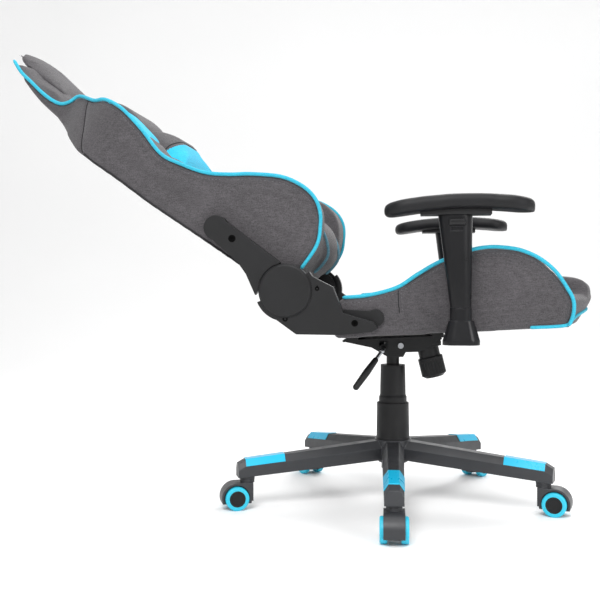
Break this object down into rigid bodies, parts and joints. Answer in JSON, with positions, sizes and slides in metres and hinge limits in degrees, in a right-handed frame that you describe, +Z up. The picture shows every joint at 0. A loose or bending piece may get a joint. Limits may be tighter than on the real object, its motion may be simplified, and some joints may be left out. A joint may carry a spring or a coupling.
{
  "type": "gaming chair",
  "caption": "Reclining racing-style gaming chair with bucket seat, side wings, height-adjustable arms and a swivel base on casters.",
  "frame": {"origin": "on the floor, under the axis of the gas lift", "axes": "+X towards the chair's front, +Y towards its left-hand side, +Z up"},
  "size_m": [1.2553, 0.7281, 1.0038],
  "materials": {
    "nylon_base": "fine-textured moulded nylon",
    "accent_plastic": "glossy cyan moulding",
    "accent_tyre": "soft cyan tread",
    "black_plastic": "fine-textured moulded plastic",
    "post_plastic": "semi-gloss moulded plastic",
    "black_steel": "black powder coat",
    "bright_steel": "zinc-plated",
    "hidden_steel": "black painted tube",
    "seat_fabric": "heathered dark grey weave",
    "dark_fabric": "plain black backing cloth",
    "webbing": "woven elastic",
    "pad_skin": "moulded polyurethane skin"
  },
  "bodies": {
    "base": {"base_star": "nylon_base", "base_leg_caps": "accent_plastic", "lift_outer_tube": "black_steel", "lift_cover_lower": "black_plastic", "lift_cover_upper": "black_plastic"},
    "caster_1": {"caster_fork_1": "nylon_base"},
    "wheels_1": {"caster_wheels_1": "black_plastic", "caster_tyres_1": "accent_tyre"},
    "caster_2": {"caster_fork_2": "nylon_base"},
    "wheels_2": {"caster_wheels_2": "black_plastic", "caster_tyres_2": "accent_tyre"},
    "caster_3": {"caster_fork_3": "nylon_base"},
    "wheels_3": {"caster_wheels_3": "black_plastic", "caster_tyres_3": "accent_tyre"},
    "caster_4": {"caster_fork_4": "nylon_base"},
    "wheels_4": {"caster_wheels_4": "black_plastic", "caster_tyres_4": "accent_tyre"},
    "caster_5": {"caster_fork_5": "nylon_base"},
    "wheels_5": {"caster_wheels_5": "black_plastic", "caster_tyres_5": "accent_tyre"},
    "lift": {"gas_piston": "black_steel"},
    "mechanism": {"mechanism_housing": "black_steel", "tension_spring": "bright_steel", "tension_bolt": "bright_steel"},
    "knob": {"tension_knob": "black_plastic"},
    "height_lever": {"lever_rod": "bright_steel", "lever_handle": "black_plastic"},
    "seat": {"tilt_plate": "black_steel", "tilt_pin": "bright_steel", "seat_frame": "hidden_steel", "seat_webbing": "webbing", "seat_cushion": "seat_fabric", "seat_bottom_panel": "dark_fabric", "recliner_plates_lower": "black_steel", "recliner_cover_lower_right": "black_plastic", "recliner_cover_lower_left": "black_plastic", "recliner_caps": "black_plastic", "recline_shaft": "black_steel", "recline_springs": "bright_steel", "seat_bolts": "bright_steel", "arm_post_right": "post_plastic", "arm_post_left": "post_plastic"},
    "recline_lever": {"recline_lever": "black_plastic"},
    "back": {"back_frame": "hidden_steel", "back_cushion": "seat_fabric", "back_rear_panel": "dark_fabric", "recliner_plates_upper": "black_steel", "recliner_cover_upper_right": "black_plastic", "recliner_cover_upper_left": "black_plastic", "head_cushion": "seat_fabric", "lumbar_pillow": "seat_fabric", "pillow_straps": "webbing"},
    "arm_right": {"arm_sleeve_right": "post_plastic", "arm_plate_right": "black_plastic", "arm_pad_right": "pad_skin"},
    "arm_button_right": {"arm_button_right": "black_plastic"},
    "arm_left": {"arm_sleeve_left": "post_plastic", "arm_plate_left": "black_plastic", "arm_pad_left": "pad_skin"},
    "arm_button_left": {"arm_button_left": "black_plastic"}
  },
  "joints": [
    {"name": "caster_1_swivel", "type": "hinge", "parent": "base", "child": "caster_1", "pos_m": [0.01418, -0.32469, 0.063], "axis": [0, 0, 1], "continuous": true},
    {"name": "caster_1_roll", "type": "hinge", "parent": "caster_1", "child": "wheels_1", "pos_m": [0.01525, -0.34927, 0.025], "axis": [0.999, 0.0436, 0], "continuous": true},
    {"name": "caster_2_swivel", "type": "hinge", "parent": "base", "child": "caster_2", "pos_m": [0.31318, -0.08685, 0.063], "axis": [0, 0, 1], "continuous": true},
    {"name": "caster_2_roll", "type": "hinge", "parent": "caster_2", "child": "wheels_2", "pos_m": [0.33688, -0.09343, 0.025], "axis": [0.2672, 0.9636, 0], "continuous": true},
    {"name": "caster_3_swivel", "type": "hinge", "parent": "base", "child": "caster_3", "pos_m": [0.17938, 0.27101, 0.063], "axis": [0, 0, 1], "continuous": true},
    {"name": "caster_3_roll", "type": "hinge", "parent": "caster_3", "child": "wheels_3", "pos_m": [0.19296, 0.29153, 0.025], "axis": [-0.8339, 0.5519, 0], "continuous": true},
    {"name": "caster_4_swivel", "type": "hinge", "parent": "base", "child": "caster_4", "pos_m": [-0.20232, 0.25435, 0.063], "axis": [0, 0, 1], "continuous": true},
    {"name": "caster_4_roll", "type": "hinge", "parent": "caster_4", "child": "wheels_4", "pos_m": [-0.21763, 0.2736, 0.025], "axis": [-0.7826, -0.6225, 0], "continuous": true},
    {"name": "caster_5_swivel", "type": "hinge", "parent": "base", "child": "caster_5", "pos_m": [-0.30442, -0.11382, 0.063], "axis": [0, 0, 1], "continuous": true},
    {"name": "caster_5_roll", "type": "hinge", "parent": "caster_5", "child": "wheels_5", "pos_m": [-0.32746, -0.12243, 0.025], "axis": [0.3502, -0.9367, 0], "continuous": true},
    {"name": "height_adjust", "type": "slide", "parent": "base", "child": "lift", "axis": [0, 0, 1], "range_m": [-0.012, 0.085]},
    {"name": "seat_swivel", "type": "hinge", "parent": "lift", "child": "mechanism", "pos_m": [0, 0, 0.33], "axis": [0, 0, 1], "continuous": true},
    {"name": "tension_knob_turn", "type": "hinge", "parent": "mechanism", "child": "knob", "pos_m": [0.081, 0, 0.316], "axis": [-0.2385, 0, 0.9711], "continuous": true},
    {"name": "height_lever_lift", "type": "hinge", "parent": "mechanism", "child": "height_lever", "pos_m": [-0.017, -0.062, 0.338], "axis": [0, 1, 0], "range_deg": [0, 10], "stiffness_Nm_per_rad": 3, "springref_deg": -5.16},
    {"name": "seat_tilt", "type": "hinge", "parent": "mechanism", "child": "seat", "pos_m": [0.02, 0, 0.346], "axis": [0, -1, 0], "range_deg": [0, 12], "stiffness_Nm_per_rad": 150, "springref_deg": -28.65},
    {"name": "back_recline", "type": "hinge", "parent": "seat", "child": "back", "pos_m": [-0.196, 0, 0.463], "axis": [0, 1, 0], "range_deg": [-12, 50]},
    {"name": "recline_lever_pull", "type": "hinge", "parent": "seat", "child": "recline_lever", "pos_m": [-0.13, -0.2615, 0.42], "axis": [0, -1, 0], "range_deg": [0, 18], "stiffness_Nm_per_rad": 0.5, "springref_deg": -8.59},
    {"name": "arm_right_height", "type": "slide", "parent": "seat", "child": "arm_right", "axis": [0, 0, 1], "range_m": [0, 0.075]},
    {"name": "arm_button_right_press", "type": "slide", "parent": "arm_right", "child": "arm_button_right", "axis": [0, 1, 0], "range_m": [0, 0.003], "stiffness_N_per_m": 400, "springref_m": -0.002},
    {"name": "arm_left_height", "type": "slide", "parent": "seat", "child": "arm_left", "axis": [0, 0, 1], "range_m": [0, 0.075]},
    {"name": "arm_button_left_press", "type": "slide", "parent": "arm_left", "child": "arm_button_left", "axis": [0, -1, 0], "range_m": [0, 0.003], "stiffness_N_per_m": 400, "springref_m": -0.002}
  ]
}
